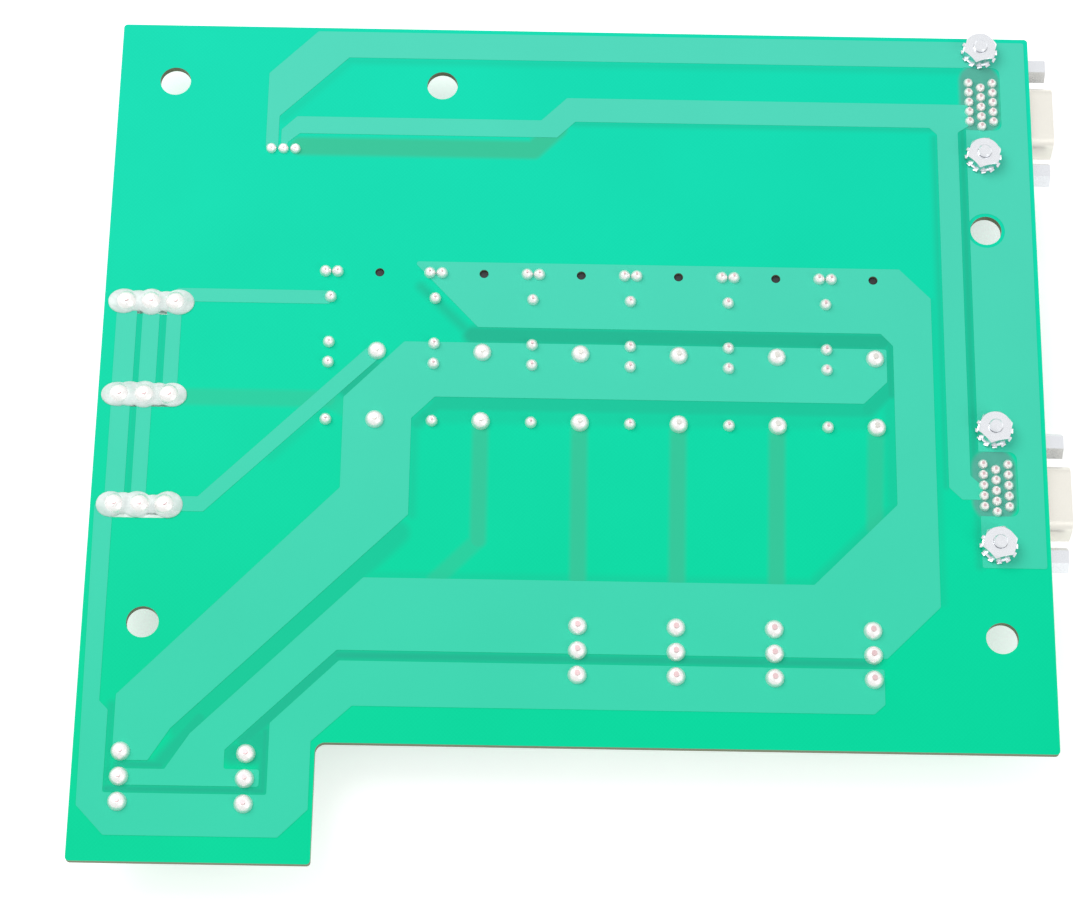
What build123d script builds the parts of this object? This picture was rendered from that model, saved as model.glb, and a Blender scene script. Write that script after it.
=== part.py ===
from build123d import *
from math import radians, tan
import os

os.makedirs("parts", exist_ok=True)

# A power distribution board lying face down: its solder side is up and its parts hang
# below it. It stands on the rims of its power headers and on its data connector flanges.
# Places on the board are (x, y) in millimetres from its upper left corner, with x to the
# right and y down the board. Z is up, and the board's underside is STAND_H above the floor.

# ---------------------------------------------------------------- driving dimensions
# Board
BOARD_W = 194.0
BOARD_H = 159.0
BOARD_T = 1.6
TAB_W = 47.5            # the tongue at the lower left
TAB_LEN = 24.5
NOOK_R = 2.0            # inner corner between board and tongue
CORNER_R = 0.8
COPPER_T = 0.07         # copper and the mask over it
EDGE_GAP = 0.9          # copper stays this far inside the board's edge
STAND_H = 12.5          # floor to the board's underside

MOUNT_D = 6.5
MOUNTS = [(11.8, 13.5), (68.7, 13.5), (183.5, 45.5), (12.1, 134.7), (183.5, 135.2)]
MOUNT_CLEAR = 0.7       # copper kept off a mounting hole

# Leads, holes and solder
LEAD_CLEAR = 0.15       # radial play of a lead in its drilled hole
PRESS_FIT = 0.02        # radial play of a pin in its moulding and of a fuse in its clips
THIN_D = 0.6            # resistor, diode and lamp leads
TAIL_D = 1.1            # fuse clip and power header tails
POST_D = 0.64           # signal header posts
CONTACT_D = 0.6         # data connector contacts
LEAD_OUT = 1.9          # how far a lead's end stands above the solder side
FINE_OUT = 1.3
THIN_PAD_D = 2.4
TAIL_PAD_D = 3.8
LINK_PAD_D = 4.6
POST_PAD_D = 2.2
CONTACT_PAD_D = 1.96
THIN_JOINT_H = 1.5
TAIL_JOINT_H = 1.6
FINE_JOINT_H = 1.1

# Six fused channels
FIRST_FUSE_X = 56.8
SECOND_FUSE_X = 78.5
CHANNEL_PITCH = 20.25
CHANNELS = 6
FUSE_Y = 75.2           # first clip tail
CLIP_PITCH = 15.24
PEG_BACK = 17.78        # peg before the first tail
LAMP_X = -10.0          # small parts stand left of their fuse
LAMP_Y = 57.4
LAMP_PITCH = 2.54
RESISTOR_Y = 63.2
RESISTOR_PITCH = 10.2
DIODE_Y = 77.9
DIODE_PITCH = 12.7

# Fuse block, clips and cartridge fuse
BASE_W = 9.4
BASE_END = 3.6          # block past the last tail
BASE_NOSE = 3.4         # block past the peg
BASE_H = 10.6
BASE_WALL = 1.2
BASE_WEB = 2.2
BASE_SHOULDER_H = 6.4
PEG_D = 1.7
PEG_PLAY = 0.1
PEG_LEN = 1.1
FUSE_D = 5.2
FUSE_L = 20.0
FUSE_CAP_L = 5.0
FUSE_CAP_T = 0.3
FUSE_GLASS_T = 0.5
FUSE_WIRE_D = 0.24
FUSE_DROP = 6.0         # underside of the board to the fuse's axis
CLIP_T = 0.4
CLIP_L = 4.4
CLIP_NECK = 2.2
CLIP_MOUTH = 3.7

# Lamps, resistors and diodes
LAMP_D = 5.0
LAMP_RIM_D = 5.8
LAMP_RIM_T = 1.0
LAMP_L = 8.6
LAMP_GAP = 1.0          # board to the lamp's foot
LAMP_FLAT = 2.5
LAMP_LEAD_D = 0.5
RESISTOR_D = 2.2
RESISTOR_END_D = 2.5
RESISTOR_L = 6.3
RESISTOR_END_L = 1.5
DIODE_D = 2.7
DIODE_L = 5.2
BODY_GAP = 0.3          # board to an axial part's body
LEAD_BEND_R = 0.9

# Power headers, three poles each
POLE_PITCH = 5.08
POLES = 3
HEADER_WALL = 1.0
HEADER_INNER_W = 7.0
HEADER_PIN_INSET = 1.8  # pin row to the nearer long wall
HEADER_END_GAP = 1.2    # end pin's pole to the end wall
HEADER_WEB = 3.0
HEADER_KEY_W = 2.0
HEADER_KEY_DEEP = 5.0
PIN_W = 1.0
PIN_SHORT = 2.2         # pin tips stay this far inside the rim
OUTPUTS = [(98.8, 139.2), (118.4, 139.2), (138.0, 139.2), (157.7, 139.2)]
FEEDS = [(9.4, 166.5), (34.0, 166.6)]
LINKS = [(9.7, 65.0), (9.5, 85.8), (10.0, 109.8)]
SEALANT_W = 5.2
SEALANT_L = 17.8
SEALANT_H = 0.9

# Signal header
SIGNAL = (35.46, 29.1)
SIGNAL_PITCH = 2.54
SIGNAL_BASE_H = 2.54
SIGNAL_BASE_W = 2.5
SIGNAL_POST_L = 6.0

# Data connectors
DATA_X = 183.45         # middle contact row and mounting screws
DATA_Y = [15.95, 103.25]
SCREW_SPAN = 24.99
ROW_PITCH = 2.54
CONTACT_PITCH = 2.29
FACE_PITCH = 1.98
CONTACTS = 5
FLANGE_W = 30.8
FLANGE_T = 0.8
FLANGE_INSET = 0.2      # flange front behind the board's edge
NOSE_OUT = 5.5          # nose tip beyond the board's edge
NOSE_W = 16.3
NOSE_H = 7.9
NOSE_R = 2.4
NOSE_T = 0.4
NOSE_SLANT = 10.0
FACE_IN = 0.5
FACE_BORE_D = 1.0
CONTACT_IN = 2.0
CORE_W = 18.0
CORE_H = 10.2
CORE_L = 6.0
FOOT_T = 1.0
FOOT_W = 6.2
FOOT_BACK = 3.6
CHEEK_T = 0.8
CHEEK_L = 7.0
CHEEK_H = 7.0
JACK_AF = 4.75
JACK_L = 4.8
JACK_BORE_D = 2.3
JACK_STUD_D = 2.7
JACK_STUD_L = 3.8
SCREW_D = 2.84
SCREW_HEAD_D = 5.4
SCREW_HEAD_H = 1.8
SCREW_SLOT_W = 0.8
SCREW_OUT = 0.8         # screw end above its nut
THREAD_PLAY = 0.05
WASHER_D = 7.8
WASHER_RING_D = 6.7
WASHER_T = 0.5
WASHER_TEETH = 12
NUT_AF = 6.35
NUT_H = 2.4
NUT_CROWN = 0.45        # corners turned off at the nut's top
NUT_TURN = 14

# ---------------------------------------------------------------- worked-out places
TOTAL_H = BOARD_H + TAB_LEN
OVERHANG = max(0.0, WASHER_D / 2 - (DATA_Y[0] - SCREW_SPAN / 2))
X0 = -(BOARD_W + NOSE_OUT) / 2
Y0 = (TOTAL_H - OVERHANG) / 2
Z_UNDER = STAND_H
Z_TOP = STAND_H + BOARD_T
TOP = Plane(origin=(X0, Y0, Z_TOP))
UNDER = Plane(origin=(X0, Y0, Z_UNDER))
SEAT = COPPER_T         # parts sit on the mask, this far under the board

HALF_HEADER = POLE_PITCH * (POLES - 1) / 2
fuse_xs = [FIRST_FUSE_X]
fuse_xs += [SECOND_FUSE_X + CHANNEL_PITCH * k for k in range(CHANNELS - 1)]
lamp_xs = [x + LAMP_X for x in fuse_xs]
fuse_foot_y = FUSE_Y + CLIP_PITCH
peg_y = FUSE_Y - PEG_BACK


def down(points):
    """Turn places measured down the board into sketch points."""
    return [(x, -y) for x, y in points]


def spots(points, z, turn=0.0):
    """Places on the board as locations at height z."""
    return [Location((X0 + x, Y0 - y, z), (0, 0, turn)) for x, y in points]


def pole_row(points, along_x=False):
    """The three pole places of each header centre."""
    steps = [POLE_PITCH * (k - (POLES - 1) / 2) for k in range(POLES)]
    if along_x:
        return [(x + s, y) for x, y in points for s in steps]
    return [(x, y + s) for x, y in points for s in steps]


def contact_rows(centre_y):
    """Drilled places of one data connector, outer rows and middle row staggered."""
    places = []
    for row in (-1, 0, 1):
        lag = CONTACT_PITCH / 4 if row == 0 else -CONTACT_PITCH / 4
        for k in range(CONTACTS):
            step = CONTACT_PITCH * (k - (CONTACTS - 1) / 2)
            places.append((DATA_X + ROW_PITCH * row, centre_y + step + lag))
    return places


lamp_spots = [(x + s * LAMP_PITCH / 2, LAMP_Y) for x in lamp_xs for s in (-1, 1)]
axial_spots = [(x, y) for x in lamp_xs for y in (
    RESISTOR_Y, RESISTOR_Y + RESISTOR_PITCH, DIODE_Y, DIODE_Y + DIODE_PITCH)]
clip_spots = [(x, y) for x in fuse_xs for y in (FUSE_Y, fuse_foot_y)]
header_spots = pole_row(OUTPUTS) + pole_row(FEEDS)
link_spots = pole_row(LINKS, along_x=True)
signal_spots = [(SIGNAL[0] + SIGNAL_PITCH * k, SIGNAL[1]) for k in (-1, 0, 1)]
contact_spots = [p for y in DATA_Y for p in contact_rows(y)]
screw_spots = [(DATA_X, y + s * SCREW_SPAN / 2) for y in DATA_Y for s in (-1, 1)]
peg_spots = [(x, peg_y) for x in fuse_xs]

DRILLED = [
    (lamp_spots, LAMP_LEAD_D / 2 + LEAD_CLEAR),
    (axial_spots, THIN_D / 2 + LEAD_CLEAR),
    (clip_spots + header_spots + link_spots, TAIL_D / 2 + LEAD_CLEAR),
    (signal_spots, POST_D / 2 + LEAD_CLEAR),
    (contact_spots, CONTACT_D / 2 + LEAD_CLEAR),
    (screw_spots, SCREW_D / 2 + LEAD_CLEAR),
    (peg_spots, PEG_D / 2 + PEG_PLAY),
    (MOUNTS, MOUNT_D / 2),
]
PADS = [
    (lamp_spots + axial_spots, THIN_PAD_D / 2),
    (clip_spots + header_spots, TAIL_PAD_D / 2),
    (link_spots, LINK_PAD_D / 2),
    (signal_spots, POST_PAD_D / 2),
    (contact_spots, CONTACT_PAD_D / 2),
    (peg_spots, PEG_D / 2 + PEG_PLAY),
    (screw_spots, SCREW_D / 2 + LEAD_CLEAR),
    (MOUNTS, MOUNT_D / 2 + MOUNT_CLEAR),
]


def save(shape, name, places=(Location(),)):
    """Stand a shape at each place, label the whole and write it as one node."""
    with BuildPart() as node:
        with Locations(*places):
            add(shape)
    node.part.label = name
    export_step(node.part, f"parts/{name}.step")


# ---------------------------------------------------------------- board
with BuildPart() as board_laminate:
    with BuildSketch(UNDER):
        with BuildLine():
            corners = [(0, 0), (BOARD_W, 0), (BOARD_W, BOARD_H), (TAB_W, BOARD_H),
                       (TAB_W, TOTAL_H), (0, TOTAL_H)]
            radii = [NOOK_R if corner == (TAB_W, BOARD_H) else CORNER_R
                     for corner in corners]
            FilletPolyline(*down(corners), radius=radii, close=True)
        make_face()
        for places, radius in DRILLED:
            with Locations(*down(places)):
                Circle(radius, mode=Mode.SUBTRACT)
    extrude(amount=BOARD_T)
board_laminate.part.label = "board_laminate"
export_step(board_laminate.part, "parts/board_laminate.step")

# ---------------------------------------------------------------- copper on the solder side
WINDOWS = [(183.3, 14.5, 8.8, 15.0), (183.1, 102.3, 9.6, 14.0)]     # x, y, width, height
WINDOW_R = 1.6
BEND_R = 0.5

SHIELD = [
    (31.7, 29.1), (31.7, 11.2), (41.8, EDGE_GAP), (BOARD_W - EDGE_GAP, EDGE_GAP),
    (BOARD_W - EDGE_GAP, 120.4), (180.1, 120.4), (180.1, 7.1), (48.6, 7.1), (34.3, 21.4),
    (34.3, 29.1)]
SIGNAL_NET = [
    (34.9, 29.1), (34.9, 24.6), (38.1, 21.4), (89.9, 21.4), (95.3, 16.0), (180.7, 16.0),
    (180.7, 21.0), (178.3, 22.6), (178.3, 100.6), (180.7, 102.8), (180.7, 105.8),
    (176.5, 105.8), (173.9, 103.2), (173.9, 23.2), (172.3, 21.6), (97.1, 21.6),
    (93.3, 25.4), (38.8, 25.4), (36.3, 27.6), (36.3, 29.1)]
RETURN_NET = [
    (63.8, 54.8), (165.0, 54.8), (171.4, 61.4), (171.4, 128.9), (160.4, 139.9),
    (51.0, 139.9), (29.8, 160.8), (29.8, 164.7), (36.8, 164.7), (36.8, 168.2),
    (9.4, 168.2), (9.4, 164.9), (18.2, 164.9), (22.8, 157.6), (55.7, 124.6),
    (146.2, 124.6), (163.3, 107.2), (163.3, 72.2), (160.8, 69.5), (77.5, 69.5)]
SUPPLY_NET = [
    (62.4, 73.0), (161.9, 73.0), (161.9, 80.3), (157.0, 85.2), (69.0, 85.2),
    (64.3, 90.0), (64.3, 111.0), (18.9, 156.6), (14.8, 163.2), (9.6, 163.2),
    (7.8, 161.4), (7.8, 149.8), (50.3, 105.4), (50.3, 85.6)]
GROUND_NET = [
    (EDGE_GAP, 109.8), (4.6, 109.8), (4.6, 151.2), (6.4, 153.0), (6.4, 169.8),
    (38.4, 169.8), (38.4, 155.2), (51.5, 142.1), (159.8, 142.1), (159.8, 149.4),
    (157.6, 151.4), (54.4, 151.4), (46.6, 158.8), (46.6, 172.6), (40.9, 178.3),
    (7.0, 178.3), (1.4, 172.4)]
LAMP_FEED = [(14.8, 61.8), (46.8, 61.8), (46.8, 64.8), (14.8, 64.8)]
FUSE_FEED = [(15.0, 107.9), (21.6, 107.9), (55.4, 73.9), (57.8, 76.3), (22.9, 111.1),
             (15.0, 111.1)]
LINK_STRIPS = [          # x from, x to, y from, y to
    (2.7, 6.9, 65.0, 85.8), (8.1, 11.6, 65.0, 85.8), (13.1, 16.1, 65.0, 85.8),
    (2.8, 6.7, 85.8, 109.8), (8.1, 11.1, 85.8, 109.8)]


def clear_pads():
    """Open the copper round each pad, drilled hole and mounting hole."""
    for places, radius in PADS:
        with Locations(*down(places)):
            Circle(radius, mode=Mode.SUBTRACT)


def strip(left, right, upper, lower):
    """Corners of a straight upright strip."""
    return [(left, upper), (right, upper), (right, lower), (left, lower)]


TOP_NETS = {
    "copper_shield": [SHIELD],
    "copper_signal": [SIGNAL_NET],
    "copper_return": [RETURN_NET],
    "copper_supply": [SUPPLY_NET],
    "copper_ground": [GROUND_NET],
    "copper_links": [LAMP_FEED, FUSE_FEED] + [strip(*sides) for sides in LINK_STRIPS],
}
for name, outlines in TOP_NETS.items():
    with BuildPart() as pour:
        with BuildSketch(TOP):
            for corners in outlines:
                with BuildLine():
                    FilletPolyline(*down(corners), radius=BEND_R, close=True)
                make_face()
            if name == "copper_shield":
                for x, y, width, height in WINDOWS:
                    with Locations((x, -y)):
                        RectangleRounded(width, height, WINDOW_R, mode=Mode.SUBTRACT)
            clear_pads()
        extrude(amount=COPPER_T)
    save(pour.part, name)

# ---------------------------------------------------------------- copper on the parts side
TRACK_W = 3.5
GUARD_NET = [(37.5, 30.5), (37.5, 26.2), (87.3, 26.2), (97.0, 16.5), (180.7, 16.5),
             (180.7, 20.9), (98.8, 20.9), (89.2, 30.5)]
LINK_OUT = [(14.0, 84.3), (50.0, 84.3), (56.8, 88.8), (56.8, 92.2), (46.8, 92.2),
            (46.8, 88.0), (14.0, 88.0)]
SECOND_OUT = [(76.8, fuse_foot_y), (80.2, fuse_foot_y), (80.2, 117.0), (35.2, 162.6),
              (32.8, 160.2), (76.8, 115.6)]

UNDER_NETS = [GUARD_NET, LINK_OUT, SECOND_OUT]
for fuse_x, (header_x, header_y) in zip(fuse_xs[2:], OUTPUTS):
    foot_y = header_y - HALF_HEADER
    UNDER_NETS.append([
        (fuse_x - TRACK_W / 2, fuse_foot_y), (fuse_x + TRACK_W / 2, fuse_foot_y),
        (header_x + TRACK_W / 2, foot_y), (header_x - TRACK_W / 2, foot_y)])

with BuildPart() as copper_underside:
    with BuildSketch(UNDER.offset(-COPPER_T)):
        for corners in UNDER_NETS:
            with BuildLine():
                FilletPolyline(*down(corners), radius=BEND_R, close=True)
            make_face()
        clear_pads()
    extrude(amount=COPPER_T)
copper_underside.part.label = "copper_underside"
export_step(copper_underside.part, "parts/copper_underside.step")

# ---------------------------------------------------------------- solder joints


def joint(pad_d, lead_d, height):
    """One domed solder joint with its lead's bore, standing on z = 0."""
    with BuildPart() as made:
        with BuildSketch(Plane.XZ):
            with BuildLine():
                crown = lead_d / 2 + 0.18
                shoulder = (crown + pad_d / 2) / 2 + 0.16 * (pad_d - lead_d) / 2
                foot = Line((lead_d / 2, 0), (pad_d / 2, 0))
                side = ThreePointArc(foot @ 1, (shoulder, height * 0.66), (crown, height))
                top = Line(side @ 1, (lead_d / 2, height))
                Line(top @ 1, foot @ 0)
            make_face()
        revolve(axis=Axis.Z)
    return made.part


save(joint(THIN_PAD_D, LAMP_LEAD_D, THIN_JOINT_H), "lamp_joints", spots(lamp_spots, Z_TOP))
save(joint(THIN_PAD_D, THIN_D, THIN_JOINT_H), "axial_joints", spots(axial_spots, Z_TOP))
save(joint(TAIL_PAD_D, TAIL_D, TAIL_JOINT_H), "power_joints",
     spots(clip_spots + header_spots, Z_TOP))
save(joint(LINK_PAD_D, TAIL_D, TAIL_JOINT_H), "link_joints", spots(link_spots, Z_TOP))
save(joint(POST_PAD_D, POST_D, FINE_JOINT_H), "signal_joints", spots(signal_spots, Z_TOP))
save(joint(CONTACT_PAD_D, CONTACT_D, FINE_JOINT_H), "contact_joints",
     spots(contact_spots, Z_TOP))

# Clear sealant brushed over the three link rows, round the joints
for number, centre in enumerate(LINKS, 1):
    with BuildPart() as bead:
        with BuildSketch(Plane(origin=(X0 + centre[0], Y0 - centre[1], Z_TOP + COPPER_T))):
            SlotOverall(SEALANT_L, SEALANT_W)
            with GridLocations(POLE_PITCH, 0, POLES, 1):
                Circle(LINK_PAD_D / 2, mode=Mode.SUBTRACT)
        extrude(amount=SEALANT_H)
    save(bead.part, f"joint_sealant_{number}")

# ---------------------------------------------------------------- fuse block
# Its own frame has the first clip tail at the origin, z = 0 on the board's underside,
# and y up the board towards the peg.
base_top = PEG_BACK + BASE_NOSE
base_bottom = -CLIP_PITCH - BASE_END
trough_top = (FUSE_L - CLIP_PITCH) / 2 + 0.8
trough_bottom = -CLIP_PITCH - (FUSE_L - CLIP_PITCH) / 2 - 0.3

with BuildPart() as fuse_base:
    with BuildSketch(Plane.XY.offset(-SEAT)):
        with Locations((0, (base_top + base_bottom) / 2)):
            RectangleRounded(BASE_W, base_top - base_bottom, 0.8)
    extrude(amount=SEAT - BASE_H)
    with BuildSketch(Plane.XY.offset(-BASE_WEB)):
        with Locations((0, (trough_top + trough_bottom) / 2)):
            Rectangle(BASE_W - 2 * BASE_WALL, trough_top - trough_bottom)
    extrude(amount=-BASE_H, mode=Mode.SUBTRACT)
    with BuildSketch(Plane.YZ.offset(-BASE_W)):
        with BuildLine():
            Polyline((trough_top + 1.6, -BASE_H - 1), (trough_top + 1.6, -BASE_H),
                     (trough_top + 6.0, -BASE_SHOULDER_H), (base_top + 1, -BASE_SHOULDER_H),
                     (base_top + 1, -BASE_H - 1), close=True)
        make_face()
    extrude(amount=2 * BASE_W, mode=Mode.SUBTRACT)
    with BuildSketch(Plane.XZ.offset(-trough_top - 3)):
        with Locations((0, -BASE_H)):
            Circle(FUSE_D / 2)
    extrude(amount=2 * base_top + 6, both=False, mode=Mode.SUBTRACT)
    with BuildSketch(Plane.XY.offset(-SEAT)):
        with Locations((0, PEG_BACK)):
            Circle(PEG_D / 2)
    extrude(amount=SEAT + PEG_LEN)
    with BuildSketch(Plane.XY.offset(-SEAT)):
        with Locations((0, 0), (0, -CLIP_PITCH)):
            Circle(TAIL_D / 2 + PRESS_FIT)
    extrude(amount=SEAT - BASE_WEB, mode=Mode.SUBTRACT)

# One spring clip: foot on the trough's web, two arms round the fuse cap, and a tail
with BuildPart() as fuse_clip:
    with BuildSketch(Plane.XZ.offset(-CLIP_L / 2)):
        with Locations((0, -FUSE_DROP)):
            Circle(FUSE_D / 2 + CLIP_T)
        neck = FUSE_DROP - FUSE_D / 2 - BASE_WEB
        with Locations((0, -BASE_WEB - neck / 2)):
            Rectangle(CLIP_NECK, neck)
        with Locations((0, -FUSE_DROP)):
            Circle(FUSE_D / 2 + PRESS_FIT, mode=Mode.SUBTRACT)
        with Locations((0, -FUSE_DROP - FUSE_D)):
            Rectangle(CLIP_MOUTH, 2 * FUSE_D - 2, mode=Mode.SUBTRACT)
    extrude(amount=CLIP_L)
    with BuildSketch(Plane.XY.offset(-BASE_WEB)):
        Circle(TAIL_D / 2)
    extrude(amount=BASE_WEB + BOARD_T + LEAD_OUT)

with BuildPart() as fuse_tube:
    with BuildSketch(Plane.XZ.offset(CLIP_PITCH / 2)):
        with Locations((0, -FUSE_DROP)):
            Circle(FUSE_D / 2 - FUSE_CAP_T)
            Circle(FUSE_D / 2 - FUSE_CAP_T - FUSE_GLASS_T, mode=Mode.SUBTRACT)
    extrude(amount=FUSE_L / 2 - FUSE_CAP_T, both=True)

with BuildPart() as fuse_cap:
    with BuildSketch(Plane.XZ.offset(-(FUSE_L - CLIP_PITCH) / 2)):
        with Locations((0, -FUSE_DROP)):
            Circle(FUSE_D / 2)
    extrude(amount=FUSE_CAP_L)
    with BuildSketch(Plane.XZ.offset(-(FUSE_L - CLIP_PITCH) / 2 + FUSE_CAP_T)):
        with Locations((0, -FUSE_DROP)):
            Circle(FUSE_D / 2 - FUSE_CAP_T)
    extrude(amount=FUSE_CAP_L, mode=Mode.SUBTRACT)

with BuildPart() as fuse_caps:
    add(fuse_cap.part)
    mirror(about=Plane.XZ.offset(CLIP_PITCH / 2))

with BuildPart() as fuse_wire:
    with BuildSketch(Plane.XZ.offset(CLIP_PITCH / 2)):
        with Locations((0, -FUSE_DROP)):
            Circle(FUSE_WIRE_D / 2)
    extrude(amount=FUSE_L / 2 - FUSE_CAP_T, both=True)

for number, place in enumerate(spots([(x, FUSE_Y) for x in fuse_xs], Z_UNDER), 1):
    save(fuse_base.part, f"fuse_base_{number}", [place])
save(fuse_clip.part, "fuse_clips", spots(clip_spots, Z_UNDER))
fuse_places = spots([(x, FUSE_Y) for x in fuse_xs], Z_UNDER)
save(fuse_tube.part, "fuse_tubes", fuse_places)
save(fuse_caps.part, "fuse_caps", fuse_places)
save(fuse_wire.part, "fuse_elements", fuse_places)

# ---------------------------------------------------------------- lamps
with BuildPart() as lamp:
    with BuildSketch(Plane.XZ):
        with BuildLine():
            foot = Line((0, -LAMP_GAP), (LAMP_RIM_D / 2, -LAMP_GAP))
            rim = Line(foot @ 1, (LAMP_RIM_D / 2, -LAMP_GAP - LAMP_RIM_T))
            step = Line(rim @ 1, (LAMP_D / 2, -LAMP_GAP - LAMP_RIM_T))
            wall = Line(step @ 1, (LAMP_D / 2, LAMP_D / 2 - LAMP_GAP - LAMP_L))
            dome = RadiusArc(wall @ 1, (0, -LAMP_GAP - LAMP_L), LAMP_D / 2)
            Line((0, -LAMP_GAP - LAMP_L), foot @ 0)
        make_face()
    revolve(axis=Axis.Z)
    with Locations((-LAMP_FLAT - LAMP_D / 2, 0, -LAMP_GAP - LAMP_RIM_T / 2)):
        Box(LAMP_D, 2 * LAMP_D, LAMP_RIM_T, mode=Mode.SUBTRACT)

for number, place in enumerate(spots([(x, LAMP_Y) for x in lamp_xs], Z_UNDER), 1):
    save(lamp.part, f"status_lamp_{number}", [place])

with BuildPart() as lamp_leads:
    with BuildSketch(Plane(origin=(X0, Y0, Z_UNDER - LAMP_GAP))):
        with Locations(*down(lamp_spots)):
            Circle(LAMP_LEAD_D / 2)
    extrude(amount=LAMP_GAP + BOARD_T + LEAD_OUT)
lamp_leads.part.label = "lamp_leads"
export_step(lamp_leads.part, "parts/lamp_leads.step")

# ---------------------------------------------------------------- resistors and diodes
# Their own frames have the upper lead at the origin and the body down the board.
resistor_drop = SEAT + BODY_GAP + RESISTOR_END_D / 2
diode_drop = SEAT + BODY_GAP + DIODE_D / 2


def bent_lead(pitch, body, drop):
    """The upper lead of an axial part, from its body's end up through the board."""
    with BuildPart() as made:
        with BuildLine(Plane.YZ) as path:
            FilletPolyline((-(pitch - body) / 2, -drop), (0, -drop),
                           (0, BOARD_T + LEAD_OUT), radius=LEAD_BEND_R)
        with BuildSketch(Plane(origin=path.line @ 0, z_dir=path.line % 0)):
            Circle(THIN_D / 2)
        sweep()
        mirror(about=Plane.XZ.offset(pitch / 2))
    return made.part


with BuildPart() as resistor:
    with BuildSketch(Plane.XZ.offset(RESISTOR_PITCH / 2)):
        with Locations((0, -resistor_drop)):
            Circle(RESISTOR_D / 2)
    extrude(amount=RESISTOR_L / 2, both=True)
    for side in (-1, 1):
        middle = RESISTOR_PITCH / 2 + side * (RESISTOR_L - RESISTOR_END_L) / 2
        with BuildSketch(Plane.XZ.offset(middle)):
            with Locations((0, -resistor_drop)):
                Circle(RESISTOR_END_D / 2)
        extrude(amount=RESISTOR_END_L / 2, both=True)
    fillet(resistor.edges().filter_by(GeomType.CIRCLE).group_by(Axis.Y)[0], 0.4)
    fillet(resistor.edges().filter_by(GeomType.CIRCLE).group_by(Axis.Y)[-1], 0.4)

with BuildPart() as diode:
    with BuildSketch(Plane.XZ.offset(DIODE_PITCH / 2)):
        with Locations((0, -diode_drop)):
            Circle(DIODE_D / 2)
    extrude(amount=DIODE_L / 2, both=True)
    fillet(diode.edges().filter_by(GeomType.CIRCLE), 0.25)

resistor_places = spots([(x, RESISTOR_Y) for x in lamp_xs], Z_UNDER)
diode_places = spots([(x, DIODE_Y) for x in lamp_xs], Z_UNDER)
save(resistor.part, "lamp_resistors", resistor_places)
save(diode.part, "guard_diodes", diode_places)
save(bent_lead(RESISTOR_PITCH, RESISTOR_L, resistor_drop), "resistor_leads",
     resistor_places)
save(bent_lead(DIODE_PITCH, DIODE_L, diode_drop), "diode_leads", diode_places)

# ---------------------------------------------------------------- power headers
# Their own frame has the middle pin at the origin, the row along y and the plug side down.
inner_l = POLE_PITCH * POLES - POLE_PITCH + 2 * HEADER_END_GAP + PIN_W
inner_x = HEADER_INNER_W / 2 - HEADER_PIN_INSET
outer_w = HEADER_INNER_W + 2 * HEADER_WALL

with BuildPart() as header:
    with BuildSketch(Plane.XY.offset(-SEAT)):
        with Locations((inner_x, 0)):
            RectangleRounded(outer_w, inner_l + 2 * HEADER_WALL, 0.5)
    extrude(amount=SEAT - STAND_H)
    with BuildSketch(Plane.XY.offset(-HEADER_WEB)):
        with Locations((inner_x, 0)):
            Rectangle(HEADER_INNER_W, inner_l)
    extrude(amount=-STAND_H, mode=Mode.SUBTRACT)
    with BuildSketch(Plane.XY.offset(-STAND_H)):
        with Locations((inner_x + (HEADER_INNER_W + HEADER_WALL) / 2, 0)):
            with GridLocations(0, POLE_PITCH, 1, POLES):
                Rectangle(2 * HEADER_WALL, HEADER_KEY_W)
    extrude(amount=HEADER_KEY_DEEP, mode=Mode.SUBTRACT)
    with BuildSketch(Plane.XY.offset(-SEAT)):
        with GridLocations(0, POLE_PITCH, 1, POLES):
            Circle(TAIL_D / 2 + PRESS_FIT)
    extrude(amount=SEAT - HEADER_WEB, mode=Mode.SUBTRACT)

with BuildPart() as header_pin_row:
    with BuildSketch(Plane.XY.offset(-HEADER_WEB)):
        with GridLocations(0, POLE_PITCH, 1, POLES):
            Circle(TAIL_D / 2)
    extrude(amount=HEADER_WEB + BOARD_T + LEAD_OUT)
    with BuildSketch(Plane.XY.offset(-HEADER_WEB)):
        with GridLocations(0, POLE_PITCH, 1, POLES):
            Rectangle(PIN_W, PIN_W)
    extrude(amount=HEADER_WEB + PIN_SHORT - STAND_H)

header_places = spots(FEEDS + OUTPUTS, Z_UNDER)
link_places = spots(LINKS, Z_UNDER, turn=90)
header_names = ["feed_header_1", "feed_header_2"]
header_names += [f"output_header_{k}" for k in range(1, len(OUTPUTS) + 1)]
for name, place in zip(header_names, header_places):
    save(header.part, name, [place])
for number, place in enumerate(link_places, 1):
    save(header.part, f"link_header_{number}", [place])
save(header_pin_row.part, "header_pins", header_places + link_places)

# ---------------------------------------------------------------- signal header
with BuildPart() as signal_header:
    with BuildSketch(Plane(origin=(X0 + SIGNAL[0], Y0 - SIGNAL[1], Z_UNDER - SEAT))):
        with GridLocations(SIGNAL_PITCH, 0, 3, 1):
            RectangleRounded(SIGNAL_PITCH + 0.01, SIGNAL_BASE_W, 0.45)
        with GridLocations(SIGNAL_PITCH, 0, 3, 1):
            Circle(POST_D / 2 + PRESS_FIT, mode=Mode.SUBTRACT)
    extrude(amount=-SIGNAL_BASE_H)
signal_header.part.label = "signal_header"
export_step(signal_header.part, "parts/signal_header.step")

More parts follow.
